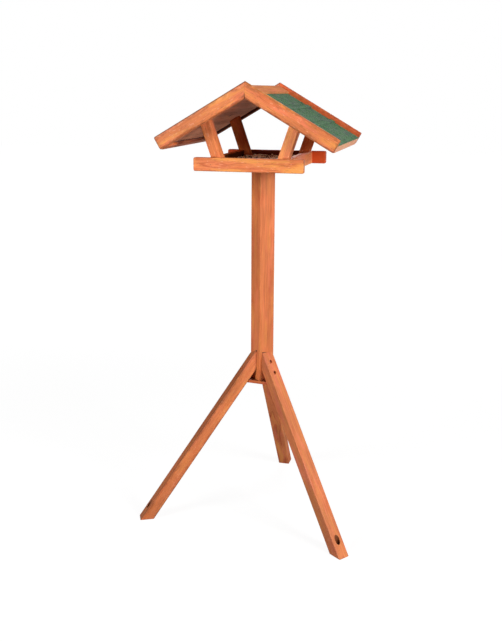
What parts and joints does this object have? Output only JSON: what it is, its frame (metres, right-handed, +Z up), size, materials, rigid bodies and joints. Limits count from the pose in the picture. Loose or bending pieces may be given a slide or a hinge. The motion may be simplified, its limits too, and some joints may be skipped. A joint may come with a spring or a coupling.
{
  "type": "bird table",
  "caption": "Free-standing wooden bird table: an open feeding tray under a felt-covered gable roof, on a square post with splayed legs drilled for ground pegs.",
  "frame": {"origin": "on the ground, under the middle of the table's overall box; the post's axis stands at x 0.0184, y -0.0589, because the front legs and the rear leg don't reach equally far", "axes": "+Z up along the post, +X to the right along the front rail of the tray, +Y to the back along the ridge"},
  "size_m": [0.5862, 0.5566, 1.1499],
  "materials": {
    "stained_wood": "orange-brown stained softwood, satin",
    "plywood": "unplaned sheet wood under a thin brown stain, matte",
    "green_felt": "green mineral grit, rough",
    "screw_steel": "zinc plated",
    "stained_nail": "nail heads stained over with the wood"
  },
  "bodies": {
    "root": {"right_leg": "stained_wood", "left_leg": "stained_wood", "rear_leg": "stained_wood", "right_leg_screw_1": "screw_steel", "right_leg_screw_2": "screw_steel", "left_leg_screw_1": "screw_steel", "left_leg_screw_2": "screw_steel", "rear_leg_screw_1": "screw_steel", "rear_leg_screw_2": "screw_steel", "base_plate": "stained_wood", "left_plate_screw": "screw_steel", "right_plate_screw": "screw_steel", "post": "stained_wood", "front_post_top_screw": "screw_steel", "rear_post_top_screw": "screw_steel", "tray_floor": "plywood", "left_rail": "stained_wood", "right_rail": "stained_wood", "front_rail": "stained_wood", "rear_rail": "stained_wood", "front_left_rail_nail": "stained_nail", "front_right_rail_nail": "stained_nail", "rear_left_rail_nail": "stained_nail", "rear_right_rail_nail": "stained_nail", "front_left_strut": "stained_wood", "front_right_strut": "stained_wood", "rear_left_strut": "stained_wood", "rear_right_strut": "stained_wood", "front_left_strut_foot_screw": "screw_steel", "front_right_strut_foot_screw": "screw_steel", "rear_left_strut_foot_screw": "screw_steel", "rear_right_strut_foot_screw": "screw_steel", "front_left_strut_head_screw": "screw_steel", "front_right_strut_head_screw": "screw_steel", "rear_left_strut_head_screw": "screw_steel", "rear_right_strut_head_screw": "screw_steel", "left_roof_panel": "plywood", "right_roof_panel": "plywood", "left_eave_board": "stained_wood", "right_eave_board": "stained_wood", "left_ridge_board": "stained_wood", "right_ridge_board": "stained_wood", "left_felt_course_1": "green_felt", "left_felt_course_2": "green_felt", "left_felt_course_3": "green_felt", "right_felt_course_1": "green_felt", "right_felt_course_2": "green_felt", "right_felt_course_3": "green_felt", "front_left_verge_board": "stained_wood", "front_right_verge_board": "stained_wood", "rear_left_verge_board": "stained_wood", "rear_right_verge_board": "stained_wood", "front_left_verge_nail": "stained_nail", "front_right_verge_nail": "stained_nail", "rear_left_verge_nail": "stained_nail", "rear_right_verge_nail": "stained_nail"}
  },
  "joints": []
}
